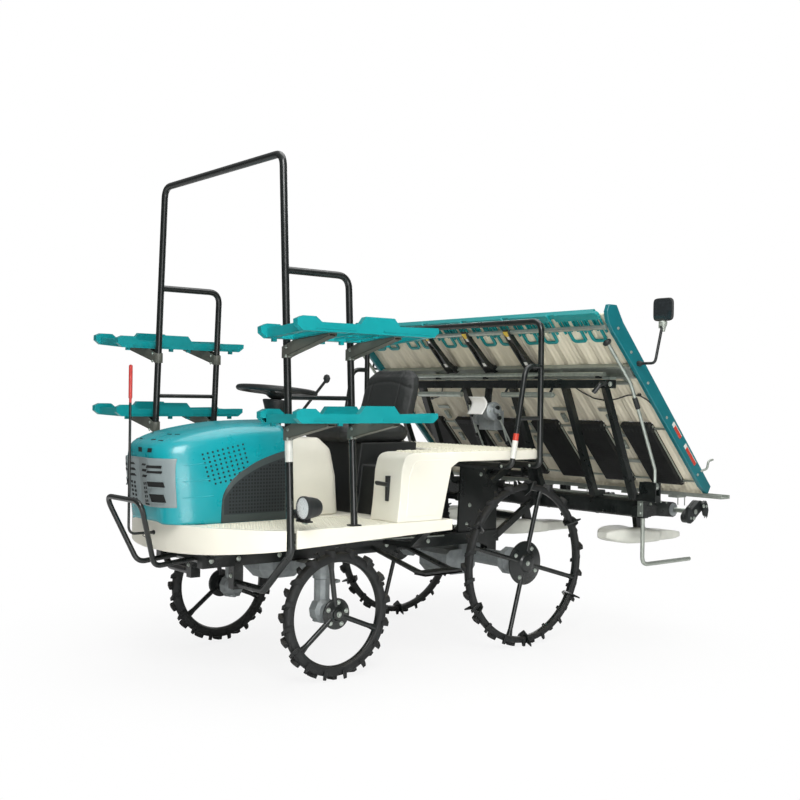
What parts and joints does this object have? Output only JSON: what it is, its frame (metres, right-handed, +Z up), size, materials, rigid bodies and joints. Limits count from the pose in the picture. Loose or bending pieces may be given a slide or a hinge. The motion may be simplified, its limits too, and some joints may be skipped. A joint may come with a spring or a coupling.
{
  "type": "rice transplanter",
  "caption": "Riding rice transplanter with narrow lugged wheels, bonnet and driver's place, seedling racks on a hoop frame, and a lifting rear planting section with a sloped tank.",
  "frame": {"origin": "on the ground under the middle of the whole machine's box", "axes": "+X the way it drives, +Y the driver's left, +Z up"},
  "size_m": [3.0812, 2.356, 2.3122],
  "materials": {
    "teal_paint": "glossy paint",
    "teal_plastic": "moulded plastic",
    "dark_teal_paint": "paint",
    "cream_plastic": "moulded plastic",
    "black_paint": "semi-gloss paint",
    "black_plastic": "grained plastic",
    "wheel_rubber": "moulded rubber on a steel wheel",
    "belt_rubber": "moulded rubber",
    "grey_casting": "painted casting",
    "zinc_plate": "zinc plated",
    "bright_rod": "ground and plated",
    "float_plastic": "blow-moulded plastic",
    "seat_vinyl": "grained vinyl",
    "red_plastic": "plastic"
  },
  "bodies": {
    "chassis": {"main_frame": "black_paint", "cylinder_bracket": "black_paint", "engine_block": "grey_casting", "front_axle_case": "grey_casting", "rear_axle_case": "grey_casting", "step_deck": "cream_plastic", "rear_deck": "cream_plastic", "steering_console": "cream_plastic", "steering_column": "black_plastic", "seat_base": "black_plastic", "seat_cushion": "seat_vinyl", "seat_back": "seat_vinyl", "bonnet": "teal_paint", "rack_frame": "black_paint", "seedling_tray_left_upper": "teal_plastic", "seedling_tray_left_lower": "teal_plastic", "seedling_tray_right_upper": "teal_plastic", "seedling_tray_right_lower": "teal_plastic", "rear_rail": "black_paint", "centre_marker": "red_plastic", "headlamp": "black_plastic"},
    "steering_wheel": {"steering_wheel": "black_plastic"},
    "knuckle_left": {"knuckle_left": "grey_casting"},
    "knuckle_right": {"knuckle_right": "grey_casting"},
    "wheel_front_left": {"wheel_front_left": "wheel_rubber"},
    "wheel_front_right": {"wheel_front_right": "wheel_rubber"},
    "wheel_rear_left": {"wheel_rear_left": "wheel_rubber"},
    "wheel_rear_right": {"wheel_rear_right": "wheel_rubber"},
    "lower_link": {"lower_link": "black_paint"},
    "upper_link": {"upper_link": "black_paint"},
    "lift_cylinder": {"lift_cylinder": "black_paint"},
    "lift_rod": {"lift_rod": "bright_rod"},
    "planter": {"planter_frame": "black_paint", "planting_cases": "black_paint", "slide_rail": "zinc_plate", "float_left": "float_plastic", "float_middle": "float_plastic", "float_right": "float_plastic"},
    "tank": {"tank_plates": "cream_plastic", "feed_belts": "belt_rubber", "tank_rail_left": "dark_teal_paint", "tank_rail_right": "dark_teal_paint", "seedling_combs": "teal_plastic", "tank_channel": "zinc_plate"},
    "planting_rotor_left": {"planting_rotor_left": "grey_casting"},
    "planting_rotor_middle": {"planting_rotor_middle": "grey_casting"},
    "planting_rotor_right": {"planting_rotor_right": "grey_casting"},
    "marker_arm_left": {"marker_arm_left": "zinc_plate"},
    "marker_arm_right": {"marker_arm_right": "zinc_plate"}
  },
  "joints": [
    {"name": "steering_turn", "type": "hinge", "parent": "chassis", "child": "steering_wheel", "pos_m": [0.73958, 0, 1.288], "axis": [-0.0958, 0, 0.9954], "range_deg": [-270, 270]},
    {"name": "knuckle_left_turn", "type": "hinge", "parent": "chassis", "child": "knuckle_left", "pos_m": [0.73858, 0.394, 0.294], "axis": [0, 0, 1], "range_deg": [-40, 40]},
    {"name": "wheel_front_left_spin", "type": "hinge", "parent": "knuckle_left", "child": "wheel_front_left", "pos_m": [0.73858, 0.506, 0.294], "axis": [0, 1, 0], "continuous": true},
    {"name": "wheel_rear_left_spin", "type": "hinge", "parent": "chassis", "child": "wheel_rear_left", "pos_m": [-0.44642, 0.513, 0.424], "axis": [0, 1, 0], "continuous": true},
    {"name": "knuckle_right_turn", "type": "hinge", "parent": "chassis", "child": "knuckle_right", "pos_m": [0.73858, -0.394, 0.294], "axis": [0, 0, 1], "range_deg": [-40, 40]},
    {"name": "wheel_front_right_spin", "type": "hinge", "parent": "knuckle_right", "child": "wheel_front_right", "pos_m": [0.73858, -0.506, 0.294], "axis": [0, 1, 0], "continuous": true},
    {"name": "wheel_rear_right_spin", "type": "hinge", "parent": "chassis", "child": "wheel_rear_right", "pos_m": [-0.44642, -0.513, 0.424], "axis": [0, 1, 0], "continuous": true},
    {"name": "lower_link_lift", "type": "hinge", "parent": "chassis", "child": "lower_link", "pos_m": [-0.50642, 0, 0.47], "axis": [0, -1, 0], "range_deg": [0, 52.3]},
    {"name": "upper_link_lift", "type": "hinge", "parent": "chassis", "child": "upper_link", "pos_m": [-0.50642, 0, 0.72], "axis": [0, -1, 0], "range_deg": [0, 52.3]},
    {"name": "planter_level", "type": "hinge", "parent": "lower_link", "child": "planter", "pos_m": [-0.88642, 0, 0.7], "axis": [0, -1, 0], "range_deg": [-52.3, 0]},
    {"name": "cylinder_swing", "type": "hinge", "parent": "chassis", "child": "lift_cylinder", "pos_m": [-0.11642, 0, 0.62], "axis": [0, -1, 0], "range_deg": [-11.57, 0]},
    {"name": "rod_slide", "type": "slide", "parent": "lift_cylinder", "child": "lift_rod", "axis": [-0.9566, 0, -0.2913], "range_m": [0, 0.07452]},
    {"name": "tank_shift", "type": "slide", "parent": "planter", "child": "tank", "axis": [0, 1, 0], "range_m": [-0.14, 0.14]},
    {"name": "rotor_left_spin", "type": "hinge", "parent": "planter", "child": "planting_rotor_left", "pos_m": [-1.44642, 0.648, 0.66], "axis": [0, 1, 0], "continuous": true},
    {"name": "rotor_middle_spin", "type": "hinge", "parent": "planter", "child": "planting_rotor_middle", "pos_m": [-1.44642, 0, 0.66], "axis": [0, 1, 0], "continuous": true},
    {"name": "rotor_right_spin", "type": "hinge", "parent": "planter", "child": "planting_rotor_right", "pos_m": [-1.44642, -0.648, 0.66], "axis": [0, 1, 0], "continuous": true},
    {"name": "marker_arm_left_swing", "type": "hinge", "parent": "planter", "child": "marker_arm_left", "pos_m": [-0.89142, 0.985, 0.83], "axis": [-1, 0, 0], "range_deg": [0, 100]},
    {"name": "marker_arm_right_swing", "type": "hinge", "parent": "planter", "child": "marker_arm_right", "pos_m": [-0.89142, -0.985, 0.83], "axis": [1, 0, 0], "range_deg": [0, 100]}
  ],
  "couplings": [
    {"joint": "knuckle_left_turn", "follows": "steering_turn", "ratio": 0.14815},
    {"joint": "knuckle_right_turn", "follows": "steering_turn", "ratio": 0.14815},
    {"joint": "upper_link_lift", "follows": "lower_link_lift", "ratio": 1},
    {"joint": "planter_level", "follows": "lower_link_lift", "ratio": -1},
    {"joint": "cylinder_swing", "follows": "lower_link_lift", "ratio": -0.22119},
    {"joint": "rod_slide", "follows": "lower_link_lift", "m_per_rad": 0.08163}
  ]
}
